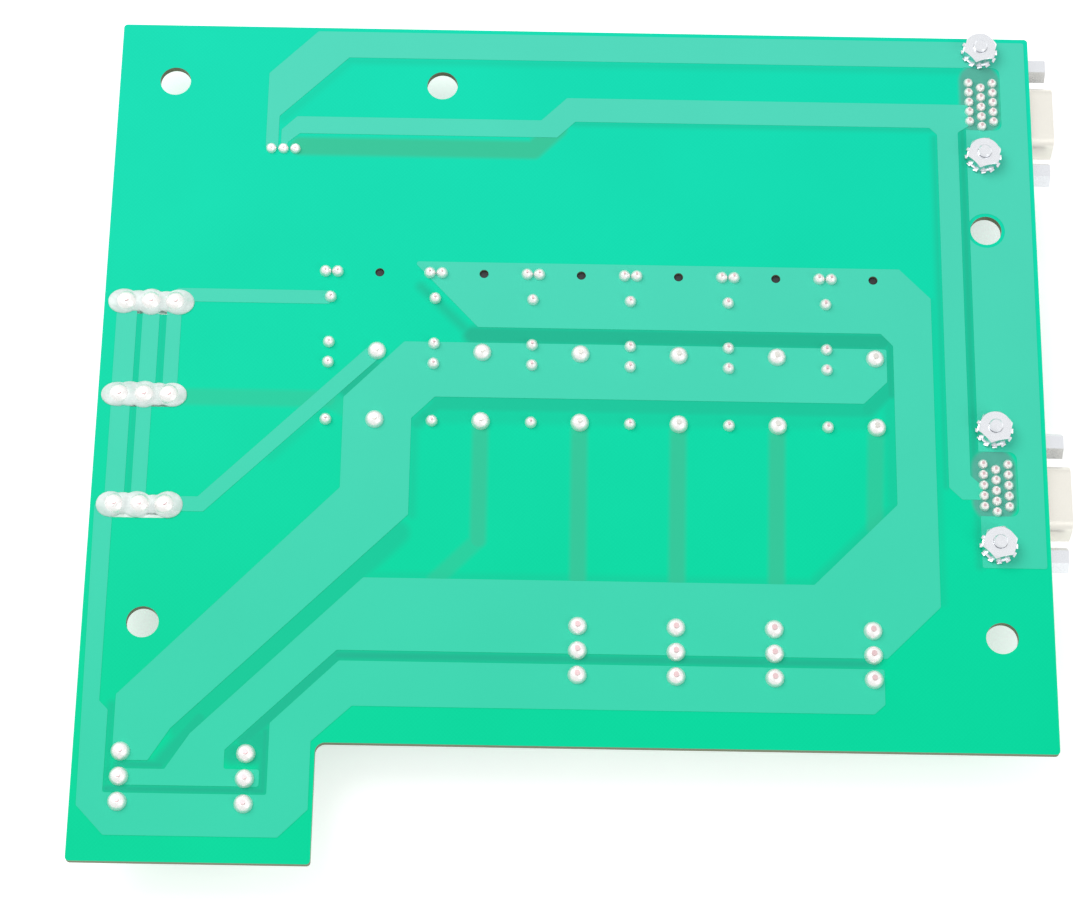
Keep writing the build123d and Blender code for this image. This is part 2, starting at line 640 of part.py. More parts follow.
with BuildPart() as signal_pins:
    with BuildSketch(Plane(origin=(X0 + SIGNAL[0], Y0 - SIGNAL[1],
                                   Z_UNDER - SEAT - SIGNAL_BASE_H - SIGNAL_POST_L))):
        with GridLocations(SIGNAL_PITCH, 0, 3, 1):
            Circle(POST_D / 2)
    extrude(amount=SIGNAL_POST_L + SIGNAL_BASE_H + SEAT + BOARD_T + FINE_OUT)
signal_pins.part.label = "signal_pins"
export_step(signal_pins.part, "parts/signal_pins.step")

# ---------------------------------------------------------------- data connectors
# Their own frame has the middle contact row at x = 0, the nose along +x, z = 0 on the
# board's underside, and y up the board.
face_z = -STAND_H / 2
flange_front = BOARD_W - FLANGE_INSET - DATA_X
flange_back = flange_front - FLANGE_T
nose_tip = BOARD_W + NOSE_OUT - DATA_X
core_back = flange_back - CORE_L
FLANGE_TOP = -SEAT


def d_corners(shrink):
    """Corners of the nose's D shape, wide side down, shrink inside its outer face."""
    half = NOSE_W / 2 - shrink
    low = NOSE_H / 2 - shrink
    lean = 2 * low * tan(radians(NOSE_SLANT))
    return [(-half, -low), (half, -low), (half - lean, low), (lean - half, low)]


nose_bodies = []
for shrink in (0, NOSE_T):
    with BuildPart() as nose:
        with BuildSketch(Plane(origin=(flange_back, 0, face_z), x_dir=(0, 1, 0),
                               z_dir=(1, 0, 0))):
            with BuildLine():
                FilletPolyline(*d_corners(shrink), radius=NOSE_R - shrink, close=True)
            make_face()
        extrude(amount=nose_tip - flange_back)
    nose_bodies.append(nose.part)
nose_solid, nose_hollow = nose_bodies

with BuildPart() as data_shell:
    with Locations(((flange_back + flange_front) / 2, 0, (FLANGE_TOP - STAND_H) / 2)):
        Box(FLANGE_T, FLANGE_W, STAND_H + FLANGE_TOP)
    add(nose_solid)
    add(nose_hollow, mode=Mode.SUBTRACT)
    for side in (-1, 1):
        with Locations(((flange_back - FOOT_BACK) / 2,
                        side * (FLANGE_W - FOOT_W) / 2, FLANGE_TOP - FOOT_T / 2)):
            Box(flange_back + FOOT_BACK, FOOT_W, FOOT_T)
        with BuildSketch(Plane.XZ.offset(side * (FLANGE_W - CHEEK_T) / 2)):
            with BuildLine():
                Polyline((flange_back, FLANGE_TOP - FOOT_T),
                         (flange_back - CHEEK_L, FLANGE_TOP - FOOT_T),
                         (flange_back, FLANGE_TOP - FOOT_T - CHEEK_H), close=True)
            make_face()
        extrude(amount=CHEEK_T / 2, both=True)
        with BuildSketch(Plane.XY.offset(FLANGE_TOP)):
            with Locations((0, side * SCREW_SPAN / 2)):
                Circle(SCREW_D / 2 + LEAD_CLEAR)
        extrude(amount=-FOOT_T, mode=Mode.SUBTRACT)
        with BuildSketch(Plane.YZ.offset(flange_back)):
            with Locations((side * SCREW_SPAN / 2, face_z)):
                Circle(JACK_STUD_D / 2 + THREAD_PLAY)
        extrude(amount=FLANGE_T, mode=Mode.SUBTRACT)

face_bores = []          # y, z of each contact in the face, and its drilled row's x
for row in (-1, 0, 1):
    lag = CONTACT_PITCH / 4 if row == 0 else -CONTACT_PITCH / 4
    for k in range(CONTACTS):
        step = CONTACT_PITCH * (k - (CONTACTS - 1) / 2)
        face_bores.append((-step - lag, face_z + FACE_PITCH * row, ROW_PITCH * row))

with BuildPart() as data_insulator:
    add(nose_hollow)
    with Locations((nose_tip - FACE_IN / 2, 0, face_z)):
        Box(FACE_IN, NOSE_W, NOSE_H, mode=Mode.SUBTRACT)
    with Locations(((flange_back + core_back) / 2, 0, face_z)):
        Box(CORE_L, CORE_W, CORE_H)
    with BuildSketch(Plane.YZ.offset(core_back)):
        with Locations(*[(y, z) for y, z, _ in face_bores]):
            Circle(CONTACT_D / 2 + PRESS_FIT)
    extrude(amount=nose_tip - core_back, mode=Mode.SUBTRACT)
    with BuildSketch(Plane.YZ.offset(nose_tip - FACE_IN - CONTACT_IN)):
        with Locations(*[(y, z) for y, z, _ in face_bores]):
            Circle(FACE_BORE_D / 2)
    extrude(amount=CONTACT_IN + FACE_IN, mode=Mode.SUBTRACT)


def contact(y, z, row_x):
    """One contact: straight back from the face, then up through the board."""
    with BuildPart() as made:
        with BuildLine(Plane.XZ.offset(-y)) as path:
            FilletPolyline((nose_tip - FACE_IN - CONTACT_IN, z), (row_x, z),
                           (row_x, BOARD_T + FINE_OUT), radius=LEAD_BEND_R)
        with BuildSketch(Plane(origin=path.line @ 0, z_dir=path.line % 0)):
            Circle(CONTACT_D / 2)
        sweep()
    return made.part


contacts = [contact(y, z, row_x) for y, z, row_x in face_bores]
with BuildPart() as contact_set:
    add(contacts)

with BuildPart() as jackscrew:
    with BuildSketch(Plane.YZ.offset(flange_front)):
        RegularPolygon(JACK_AF / 2, 6, major_radius=False)
    extrude(amount=JACK_L)
    with BuildSketch(Plane.YZ.offset(flange_front + JACK_L)):
        Circle(JACK_BORE_D / 2)
    extrude(amount=-JACK_L + 0.6, mode=Mode.SUBTRACT)
    with BuildSketch(Plane.YZ.offset(flange_front)):
        Circle(JACK_STUD_D / 2)
    extrude(amount=-JACK_STUD_L)

data_places = spots([(DATA_X, y) for y in DATA_Y], Z_UNDER)
for number, place in enumerate(data_places, 1):
    save(data_shell.part, f"data_shell_{number}", [place])
    save(data_insulator.part, f"data_insulator_{number}", [place])
    save(contact_set.part, f"data_contacts_{number}", [place])
save(jackscrew.part, "jackscrews", spots(screw_spots, Z_UNDER + face_z))

# ---------------------------------------------------------------- connector fixings
foot_low = -SEAT - FOOT_T
nut_z = BOARD_T + COPPER_T + WASHER_T

with BuildPart() as fixing_screw:
    with BuildSketch(Plane.XY.offset(foot_low)):
        Circle(SCREW_HEAD_D / 2)
    extrude(amount=-SCREW_HEAD_H)
    fillet(fixing_screw.faces().sort_by(Axis.Z)[0].edges(), SCREW_HEAD_H * 0.45)
    with Locations((0, 0, foot_low - SCREW_HEAD_H)):
        Box(SCREW_SLOT_W, SCREW_HEAD_D, SCREW_HEAD_H * 0.9, mode=Mode.SUBTRACT)
    with BuildSketch(Plane.XY.offset(foot_low)):
        Circle(SCREW_D / 2)
    extrude(amount=nut_z + NUT_H + SCREW_OUT - foot_low)
    chamfer(fixing_screw.faces().sort_by(Axis.Z)[-1].edges(), 0.3)

with BuildPart() as lock_washer:
    with BuildSketch(Plane.XY.offset(BOARD_T + COPPER_T)):
        Circle(WASHER_RING_D / 2)
        with PolarLocations((WASHER_RING_D + WASHER_D) / 4, WASHER_TEETH):
            Rectangle((WASHER_D - WASHER_RING_D) / 2 + 0.3, 1.0)
        Circle(SCREW_D / 2 + LEAD_CLEAR, mode=Mode.SUBTRACT)
        Circle(WASHER_D / 2, mode=Mode.INTERSECT)
    extrude(amount=WASHER_T)

with BuildPart() as nut_turned:
    with BuildSketch(Plane.XY.offset(nut_z)):
        Circle(NUT_AF / 2 + NUT_CROWN)
    extrude(amount=NUT_H)
    chamfer(nut_turned.faces().sort_by(Axis.Z)[-1].edges(), NUT_CROWN)

with BuildPart() as lock_nut:
    with BuildSketch(Plane.XY.offset(nut_z)):
        RegularPolygon(NUT_AF / 2, 6, major_radius=False, rotation=NUT_TURN)
    extrude(amount=NUT_H)
    add(nut_turned.part, mode=Mode.INTERSECT)
    with BuildSketch(Plane.XY.offset(nut_z)):
        Circle(SCREW_D / 2 + THREAD_PLAY)
    extrude(amount=NUT_H, mode=Mode.SUBTRACT)

save(fixing_screw.part, "fixing_screws", spots(screw_spots, Z_UNDER))
save(lock_washer.part, "lock_washers", spots(screw_spots, Z_UNDER))
save(lock_nut.part, "lock_nuts", spots(screw_spots, Z_UNDER))
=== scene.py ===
"""Finishes and fine detail of a power distribution board, laid face down, round its CAD frame."""
import math
import bpy
from bpy.props import FloatProperty, FloatVectorProperty, IntProperty, PointerProperty
from mathutils import Matrix, Vector


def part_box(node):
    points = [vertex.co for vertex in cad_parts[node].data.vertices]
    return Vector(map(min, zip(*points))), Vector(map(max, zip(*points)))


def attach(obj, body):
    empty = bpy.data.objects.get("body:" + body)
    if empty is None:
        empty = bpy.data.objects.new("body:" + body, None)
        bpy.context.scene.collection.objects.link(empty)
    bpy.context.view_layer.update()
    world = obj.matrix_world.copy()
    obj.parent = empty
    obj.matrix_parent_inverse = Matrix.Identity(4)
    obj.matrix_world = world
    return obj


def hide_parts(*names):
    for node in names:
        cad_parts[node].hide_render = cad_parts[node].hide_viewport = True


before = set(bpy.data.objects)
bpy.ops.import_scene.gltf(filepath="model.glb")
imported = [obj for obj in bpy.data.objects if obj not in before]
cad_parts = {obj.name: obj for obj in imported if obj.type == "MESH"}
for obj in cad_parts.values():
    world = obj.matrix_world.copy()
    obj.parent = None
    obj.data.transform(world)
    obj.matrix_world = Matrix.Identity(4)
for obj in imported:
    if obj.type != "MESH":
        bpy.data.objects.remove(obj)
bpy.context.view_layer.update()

bl_info = {
    "name": "Power distribution board",
    "version": (1, 0, 0),
    "blender": (4, 5, 0),
    "location": "3D View > Sidebar > Board",
    "description": "Finishes, sealant films and lock washers for a power distribution board",
    "category": "Object",
}

# ---------------------------------------------------------------- places from the frame
BOARD_LOW, BOARD_HIGH = (Vector(corner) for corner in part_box("board_laminate"))
POUR_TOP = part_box("copper_return")[1][2]
MM = 0.001

# Copper runs on the parts side that show faintly through the laminate, in millimetres
# from the board's upper left corner: x, y, x, y, half width, strength
UNDER_RUNS = [
    (39.0, 28.4, 88.3, 28.4, 2.1, 1.0), (88.3, 28.4, 93.2, 23.4, 2.1, 1.0),
    (15.0, 86.1, 47.0, 86.1, 1.8, 0.55), (47.0, 86.1, 50.5, 88.0, 1.8, 0.3),
    (78.5, 92.0, 78.5, 116.3, 1.6, 0.8), (78.5, 116.3, 70.0, 125.0, 1.6, 0.5),
    (98.7, 92.0, 98.7, 124.0, 1.65, 0.85), (118.9, 92.0, 118.6, 124.0, 1.65, 0.85),
    (139.1, 92.0, 138.6, 124.0, 1.65, 0.85), (159.3, 92.0, 158.6, 112.0, 1.65, 0.6),
]

# Narrow bare gaps between pours, where less light comes back through the laminate
GAP_SHADE_RUNS = [
    (48.0, 7.9, 180.0, 7.9, 0.7, 0.35), (179.2, 21.5, 179.2, 101.5, 1.0, 0.9),
    (173.2, 24.0, 173.2, 103.0, 0.5, 0.6), (97.0, 22.1, 172.5, 22.1, 0.4, 0.6),
    (179.6, 107.0, 179.6, 120.0, 0.7, 0.5), (35.2, 21.9, 48.8, 8.2, 0.8, 0.25),
    (76.5, 71.3, 161.0, 71.3, 2.0, 1.0), (65.5, 60.5, 75.6, 70.6, 1.0, 0.6),
    (162.6, 71.0, 162.6, 83.0, 1.1, 0.9), (162.3, 84.0, 162.5, 106.5, 1.4, 0.35),
    (70.0, 86.4, 157.0, 86.4, 2.0, 0.6), (70.0, 88.4, 157.0, 88.4, 2.6, 0.25),
    (157.8, 86.4, 162.2, 82.0, 1.8, 0.7),
    (65.4, 91.0, 69.8, 86.6, 1.4, 0.6), (65.0, 92.0, 65.0, 111.0, 0.8, 0.35),
    (57.0, 124.0, 146.0, 124.0, 0.6, 0.3), (146.0, 124.2, 163.0, 107.0, 1.0, 0.4),
    (62.0, 115.0, 21.5, 156.8, 2.7, 0.45), (51.2, 141.0, 157.6, 141.0, 1.1, 1.0),
    (51.2, 141.0, 33.5, 158.7, 1.5, 0.85), (37.6, 157.0, 37.6, 169.0, 1.0, 0.9),
    (35.6, 158.6, 37.2, 159.0, 2.2, 0.75),
    (31.6, 161.6, 36.5, 161.6, 2.2, 0.7), (9.0, 164.1, 17.4, 164.1, 0.9, 0.9),
    (17.0, 164.1, 24.5, 154.6, 1.5, 0.7), (7.2, 169.0, 37.5, 169.0, 0.9, 1.0),
    (7.1, 152.0, 7.1, 168.5, 0.8, 0.6), (56.5, 78.4, 50.6, 84.3, 1.3, 0.9),
    (50.3, 84.6, 36.0, 99.0, 0.9, 0.25), (172.0, 62.0, 172.0, 128.0, 0.5, 0.3),
    (7.5, 67.0, 7.5, 108.0, 0.8, 0.5), (12.4, 67.0, 12.4, 84.0, 0.9, 0.5),
]

# Openings in the shield pour round the data connectors' contact fields
WINDOW_RUNS = [(183.3, 10.5, 183.3, 18.5, 4.3, 1.0), (183.1, 99.0, 183.1, 106.0, 4.5, 1.0)]


def place(x, y, z=0.0):
    """A place on the board, x right and y down from its upper left corner in millimetres."""
    return Vector((BOARD_LOW.x + x * MM, BOARD_HIGH.y - y * MM, z))


def tint(red, green, blue):
    """A colour of 0 to 255 as screens show it, as the linear colour that nodes take."""
    def linear(value):
        value /= 255
        return value / 12.92 if value <= 0.04045 else ((value + 0.055) / 1.055) ** 2.4
    return linear(red), linear(green), linear(blue)


# ---------------------------------------------------------------- settings
def colour(name, description, default):
    return FloatVectorProperty(name=name, description=description, subtype="COLOR", size=3,
                               min=0.0, max=1.0, default=default)


class BoardColours(bpy.types.PropertyGroup):
    """Colours of the board's finishes"""
    # The far and near colours paint light into the laminate: it is lighter towards the far edge.
    bare_far: colour("Bare board, far", "Masked laminate at the far edge", tint(14, 214, 174))
    bare_near: colour("Bare board, near", "Masked laminate at the near edge", tint(0, 212, 154))
    # Painted shade: the gap colour darkens the laminate in narrow gaps between pours, where less
    # light comes back through it.
    gap: colour("Gaps", "Masked laminate in narrow gaps between pours", tint(32, 178, 142))
    window: colour("Contact field", "Laminate between the data contacts", tint(84, 172, 152))
    under: colour("Far-side copper", "Copper seen through the laminate", tint(54, 190, 148))
    # The far and near copper colours paint light too: the copper is lighter towards the far edge.
    pour_far: colour("Copper, far", "Masked copper at the far edge", tint(76, 208, 180))
    pour_near: colour("Copper, near", "Masked copper at the near edge", tint(56, 208, 170))
    rim: colour("Board edge", "Sawn edge of the laminate", tint(132, 138, 112))
    solder: colour("Solder", "Tin-lead solder of the joints", tint(244, 242, 240))
    tin: colour("Tinned leads", "Leads and pins below the board", tint(214, 213, 209))
    lead_tip: colour("Lead ends", "Clipped ends of the leads", tint(212, 184, 186))
    hardware: colour("Hardware", "Zinc-plated nuts, washers and screws", tint(226, 228, 232))
    shell: colour("Connector shell", "Tin-plated steel shells", tint(232, 229, 220))
    sealant: colour("Sealant", "Dried clear sealant", tint(240, 249, 247))
    moulding: colour("Fuse moulding", "Black thermoplastic", tint(30, 31, 33))
    header: colour("Header moulding", "Natural nylon", tint(226, 222, 208))
    insulator: colour("Connector moulding", "Connector insulator", tint(30, 44, 78))
    lens: colour("Lamp lens", "Tinted lens of the status lamps", tint(48, 168, 82))
    resistor: colour("Resistor body", "Resistor lacquer", tint(214, 186, 140))


class BoardSizes(bpy.types.PropertyGroup):
    """Sizes of the pieces made here"""
    film_height: FloatProperty(
        name="Film height", description="Top of the sealant above the copper",
        default=0.0011, min=0.0002, max=0.002, subtype="DISTANCE", unit="LENGTH")
    film_width: FloatProperty(
        name="Film width", description="Width of the brushed sealant across a link row",
        default=0.0060, min=0.004, max=0.007, subtype="DISTANCE", unit="LENGTH")
    tooth_twist: FloatProperty(
        name="Tooth twist", description="Twist of each lock washer tooth",
        default=math.radians(24), min=0.0, max=math.radians(40), subtype="ANGLE",
        unit="ROTATION")
    teeth: IntProperty(
        name="Teeth", description="Teeth round each lock washer", default=12, min=6, max=20)


class StudioSettings(bpy.types.PropertyGroup):
    """Camera, lamps and floor"""
    eye: FloatVectorProperty(
        name="Camera place", description="Where the camera stands", size=3,
        default=(-0.01009, -0.23808, 0.60977), subtype="TRANSLATION", unit="LENGTH")
    tilt: FloatProperty(
        name="Tilt", description="Camera's lean from looking straight down",
        default=math.radians(21.37), subtype="ANGLE", unit="ROTATION")
    heading: FloatProperty(
        name="Heading", description="Camera's turn about the vertical",
        default=math.radians(-0.39), subtype="ANGLE", unit="ROTATION")
    roll: FloatProperty(
        name="Roll", description="Camera's roll about its own axis",
        default=math.radians(1.33), subtype="ANGLE", unit="ROTATION")
    lens: FloatProperty(
        name="Lens", description="Focal length on a 36 mm frame", default=104.2,
        subtype="DISTANCE_CAMERA")
    key_power: FloatProperty(
        name="Key lamp", description="Power of the large soft lamp", default=7.0,
        min=0.0, subtype="POWER", unit="POWER")
    fill_power: FloatProperty(
        name="Fill lamp", description="Power of the lamp opposite", default=2.5,
        min=0.0, subtype="POWER", unit="POWER")
    surround: FloatProperty(
        name="Surround", description="Even light from all round", default=0.62, min=0.0)


# ---------------------------------------------------------------- node helpers
class Nodes:
    """A node tree with short ways to add and join nodes."""

    def __init__(self, tree):
        self.tree = tree

    def add(self, kind, **settings):
        """Add a node with its settings."""
        made = self.tree.nodes.new(kind)
        for key, value in settings.items():
            setattr(made, key, value)
        return made

    def join(self, source, target):
        self.tree.links.new(source, target)

    def output(self, kind, source):
        """End the tree in an output node fed by a shader."""
        self.join(source, self.add(kind).inputs[0])

    def feed(self, socket, value):
        """Link a socket or set a plain value."""
        if isinstance(value, bpy.types.NodeSocket):
            self.join(value, socket)
        elif hasattr(socket.default_value, "__len__"):
            value = list(value)
            socket.default_value = value + [1.0] * (len(socket.default_value) - len(value))
        else:
            socket.default_value = value

    def math(self, operation, *values, clamp=False):
        made = self.add("ShaderNodeMath", operation=operation, use_clamp=clamp)
        for socket, value in zip(made.inputs, values):
            self.feed(socket, value)
        return made.outputs[0]

    def vector(self, operation, *values):
        made = self.add("ShaderNodeVectorMath", operation=operation)
        sockets = list(made.inputs)
        if operation == "SCALE":
            sockets = [made.inputs[0], made.inputs["Scale"]]
        for socket, value in zip(sockets, values):
            self.feed(socket, value)
        return made.outputs["Value" if operation in ("DOT_PRODUCT", "LENGTH") else "Vector"]

    def mix(self, factor, first, second):
        """Mix two colours."""
        made = self.add("ShaderNodeMix", data_type="RGBA")
        for socket, value in ((0, factor), (6, first), (7, second)):
            self.feed(made.inputs[socket], value)
        return made.outputs[2]

    def ramp(self, value, low, high, start=0.0, stop=1.0):
        """Smooth step of a value from low to high, given back as start to stop."""
        made = self.add("ShaderNodeMapRange", interpolation_type="SMOOTHSTEP")
        for socket, item in zip(made.inputs, (value, low, high, start, stop)):
            self.feed(socket, item)
        return made.outputs[0]

    def group(self, shared, **values):
        """Place a shared node group with its own values."""
        made = self.add("ShaderNodeGroup")
        made.node_tree = shared
        for key, value in values.items():
            self.feed(made.inputs[key], value)
        return made

    def spot(self):
        """Object coordinates as millimetres."""
        coords = self.add("ShaderNodeTexCoord").outputs["Object"]
        return self.vector("SCALE", coords, 1 / MM)

    def axes(self, value):
        """The x, y and z of a vector."""
        made = self.add("ShaderNodeSeparateXYZ")
        self.feed(made.inputs[0], value)
        return made.outputs

    def bump(self, height, distance, strength, shader):
        """Relief of a height, in millimetres, on a shader's normal."""
        relief = self.add("ShaderNodeBump")
        self.feed(relief.inputs["Strength"], strength)
        self.feed(relief.inputs["Distance"], distance * MM)
        self.feed(relief.inputs["Height"], height)
        self.join(relief.outputs[0], shader.inputs["Normal"])

    def grain(self, spot, grain, drift):
        """Place the shared grain; returns its Grain and Drift."""
        return self.group(shared("grain"), Spot=spot,
                          **{"Grain size": grain, "Drift size": drift}).outputs


def new_group(name, inputs, outputs):
    """A fresh node group with named sockets; returns its helper and end nodes."""
    tree = bpy.data.node_groups.new(name, "ShaderNodeTree")
    for label, kind, default in inputs:
        socket = tree.interface.new_socket(label, in_out="INPUT", socket_type=kind)
        if default is not None:
            socket.default_value = default
    for label, kind in outputs:
        tree.interface.new_socket(label, in_out="OUTPUT", socket_type=kind)
    helper = Nodes(tree)
    return helper, helper.add("NodeGroupInput").outputs, helper.add("NodeGroupOutput").inputs


def soft_strip_group():
    """Mask of a straight soft-edged strip seen from above, between two ends."""
    n, given, out = new_group(
        "Soft strip",
        [("Spot", "NodeSocketVector", None), ("From", "NodeSocketVector", None),
         ("To", "NodeSocketVector", None), ("Half width", "NodeSocketFloat", 1.0),
         ("Blur", "NodeSocketFloat", 0.5), ("Strength", "NodeSocketFloat", 1.0)],
        [("Mask", "NodeSocketFloat")])
    flat = n.vector("MULTIPLY", given["Spot"], (1, 1, 0))
    reach = n.vector("SUBTRACT", flat, given["From"])
    run = n.vector("SUBTRACT", given["To"], given["From"])
    along = n.math("DIVIDE", n.vector("DOT_PRODUCT", reach, run),
                   n.vector("DOT_PRODUCT", run, run), clamp=True)
    nearest = n.vector("SUBTRACT", reach, n.vector("SCALE", run, along))
    away = n.vector("LENGTH", nearest)
    mask = n.ramp(away, n.math("SUBTRACT", given["Half width"], given["Blur"]),
                  n.math("ADD", given["Half width"], given["Blur"]), 1.0, 0.0)
    n.feed(out["Mask"], n.math("MULTIPLY", mask, given["Strength"]))
    return n.tree


def fine_grain_group():
    """Even grain of moulded, plated or printed surfaces, with slow drift over it."""
    n, given, out = new_group(
        "Fine grain",
        [("Spot", "NodeSocketVector", None), ("Grain size", "NodeSocketFloat", 0.2),
         ("Drift size", "NodeSocketFloat", 12.0)],
        [("Grain", "NodeSocketFloat"), ("Drift", "NodeSocketFloat")])
    for label, size, detail in (("Grain", "Grain size", 3.0), ("Drift", "Drift size", 2.0)):
        noise = n.add("ShaderNodeTexNoise", noise_dimensions="3D")
        n.feed(noise.inputs["Vector"], given["Spot"])
        n.feed(noise.inputs["Scale"], n.math("DIVIDE", 1.0, given[size]))
        n.feed(noise.inputs["Detail"], detail)
        n.feed(out[label], noise.outputs[0])
    return n.tree


def cloth_weave_group():
    """Over-and-under of the glass cloth inside the laminate."""
    n, given, out = new_group(
        "Cloth weave",
        [("Spot", "NodeSocketVector", None), ("Pitch", "NodeSocketFloat", 0.9)],
        [("Weave", "NodeSocketFloat")])
    waves = [n.math("SINE", n.math("MULTIPLY", n.math("DIVIDE", axis, given["Pitch"]),
                                   math.tau))
             for axis in n.axes(given["Spot"])[:2]]
    n.feed(out["Weave"], n.math("MULTIPLY_ADD", n.math("MULTIPLY", *waves), 0.5, 0.5))
    return n.tree


GROUP_MAKERS = {"strip": soft_strip_group, "grain": fine_grain_group,
                "weave": cloth_weave_group}
GROUPS_MADE = {}


def shared(name):
    """The shared node group of that name, built the first time it is asked for."""
    if name not in GROUPS_MADE:
        GROUPS_MADE[name] = GROUP_MAKERS[name]()
    return GROUPS_MADE[name]


def surface(name, base, roughness=0.5, metallic=0.0, **sockets):
    """A material with one Principled shader; base and roughness may be set later."""
    made = bpy.data.materials.new(name)
    made.use_nodes = True
    n = Nodes(made.node_tree)
    made.node_tree.nodes.clear()
    shader = n.add("ShaderNodeBsdfPrincipled")
    n.output("ShaderNodeOutputMaterial", shader.outputs[0])
    n.feed(shader.inputs["Base Color"], base)
    n.feed(shader.inputs["Roughness"], roughness)
    n.feed(shader.inputs["Metallic"], metallic)
    for key, value in sockets.items():
        n.feed(shader.inputs[key.replace("_", " ")], value)
    made.diffuse_color = (*base, 1.0)
    return made, n, shader


def grained(name, base, grain=0.15, lift=0.06, rough=(0.4, 0.55), bump=0.01, metallic=0.0,
            drift=12.0, **sockets):
    """A material whose colour, roughness and relief follow the shared grain."""
    made, n, shader = surface(name, base, metallic=metallic, **sockets)
    spot = n.spot()
    field = n.grain(spot, grain, drift)
    dark = [value * (1 - lift) for value in base]
    light = [min(1.0, value * (1 + lift)) for value in base]
    blend = n.math("ADD", n.math("MULTIPLY", field["Grain"], 0.5),
                   n.math("MULTIPLY", field["Drift"], 0.5))
    n.feed(shader.inputs["Base Color"], n.mix(blend, dark, light))
    n.feed(shader.inputs["Roughness"], n.ramp(field["Grain"], 0.3, 0.7, *rough))
    n.bump(field["Grain"], bump, 0.5, shader)
    return made, n, shader, spot


def strips(n, spot, runs, blur):
    """Highest mask of a list of soft strips given in board places."""
    total = None
    for x1, y1, x2, y2, half, strength in runs:
        mask = n.group(shared("strip"), Spot=spot, From=place(x1, y1) / MM,
                       To=place(x2, y2) / MM, Strength=strength, Blur=blur,
                       **{"Half width": half}).outputs[0]
        total = mask if total is None else n.math("MAXIMUM", total, mask)
    return total


def painted_light_falloff(n, spot):
    """0 at the board's far edge to 1 at the near end of its tongue, for painting light that is
    brighter at the far edge.
    """
    return n.ramp(n.axes(spot)[1], BOARD_HIGH.y / MM, BOARD_LOW.y / MM)


def dress(material, *starts):
    """Give a material to every CAD node whose name starts with one of the words."""
    for name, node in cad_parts.items():
        if name.startswith(starts):
            for holder in node.material_slots:
                holder.material = material


# ---------------------------------------------------------------- modelling helpers
def start_clean():
    """Object mode with nothing selected."""
    if bpy.context.object and bpy.context.object.mode != "OBJECT":
        bpy.ops.object.mode_set(mode="OBJECT")
    bpy.ops.object.select_all(action="DESELECT")


def select_only(*pieces):
    """Select these objects and no others, the first one active."""
    start_clean()
    for piece in pieces:
        piece.select_set(True)
    bpy.context.view_layer.objects.active = pieces[0]


def join_as(name, pieces):
    """Join objects into one, with its place in its mesh."""
    select_only(*pieces)
    bpy.ops.object.join()
    made = bpy.context.object
    made.name = made.data.name = name
    bpy.ops.object.transform_apply(location=True, rotation=True, scale=True)
    return made


def apply_modifier(piece, kind, **settings):
    """Add one modifier and apply it."""
    select_only(piece)
    added = piece.modifiers.new(kind.title(), kind)
    for key, value in settings.items():
        setattr(added, key, value)
    bpy.ops.object.modifier_apply(modifier=added.name)


def face_outwards(smooth_angle):
    """Turn the faces of the piece in edit mode outwards, then smooth it in object mode."""
    bpy.ops.mesh.select_all(action="SELECT")
    bpy.ops.mesh.normals_make_consistent(inside=False)
    bpy.ops.object.mode_set(mode="OBJECT")
    bpy.ops.object.shade_smooth_by_angle(angle=smooth_angle)


def finish_piece(piece, material, node):
    """Material, body, slot and the CAD node that a new piece stands for."""
    piece.data.materials.clear()
    piece.data.materials.append(material)
    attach(piece, "root")
    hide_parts(node)


# ---------------------------------------------------------------- board and copper
class BOARD_OT_laminate(bpy.types.Operator):
    """Green masked laminate and the copper pours under the mask"""
    bl_idname = "board.laminate"
    bl_label = "Laminate and copper"

    def execute(self, context):
        look = context.scene.board_colours
        made, n, shader = surface("masked_laminate", look.bare_near[:], 0.42,
                                  Specular_IOR_Level=0.05)
        spot = n.spot()
        # Painted light: the laminate is lighter towards the far edge.
        bare = n.mix(painted_light_falloff(n, spot), look.bare_far, look.bare_near)
        weave = n.group(shared("weave"), Spot=spot).outputs[0]
        field = n.grain(spot, 0.35, 30.0)
        cloth = n.math("MULTIPLY_ADD", weave, 0.03, 0.93)
        level = n.math("MULTIPLY_ADD", field["Drift"], 0.08, cloth)
        bare = n.vector("SCALE", bare, level)
        facing = n.axes(n.add("ShaderNodeNewGeometry").outputs["True Normal"])[2]
        upper = n.ramp(facing, 0.4, 0.6)
        # The gap strips paint shade into the laminate's colour in the narrow gaps between pours.
        for runs, blur, shade in ((GAP_SHADE_RUNS, 1.1, look.gap), (UNDER_RUNS, 0.7, look.under),
                                  (WINDOW_RUNS, 0.6, look.window)):
            mask = n.math("MULTIPLY", strips(n, spot, runs, blur), upper)
            bare = n.mix(mask, bare, shade)
        rim = n.ramp(n.math("ABSOLUTE", facing), 0.4, 0.6, 1.0, 0.0)
        n.feed(shader.inputs["Base Color"], n.mix(rim, bare, look.rim))
        n.feed(shader.inputs["Roughness"], n.math("MULTIPLY_ADD", field["Grain"], 0.1, 0.38))
        n.bump(weave, 0.012, 0.35, shader)
        dress(made, "board_laminate")

        for name, nodes in (
                ("masked_copper", ("copper_ground", "copper_links", "copper_return",
                                   "copper_shield", "copper_signal", "copper_supply")),
                ("masked_copper_under", ("copper_underside",))):
            made, n, shader = surface(name, look.pour_near[:], Specular_IOR_Level=0.08)
            spot = n.spot()
            field = n.grain(spot, 0.4, 25.0)
            # Painted light: the copper is lighter towards the far edge.
            pour = n.mix(painted_light_falloff(n, spot), look.pour_far, look.pour_near)
            level = n.math("MULTIPLY_ADD", field["Drift"], 0.06, 0.97)
            n.feed(shader.inputs["Base Color"], n.vector("SCALE", pour, level))
            n.feed(shader.inputs["Roughness"], n.ramp(field["Grain"], 0.3, 0.7, 0.36, 0.46))
            n.bump(field["Grain"], 0.004, 0.5, shader)
            dress(made, *nodes)
        return {"FINISHED"}


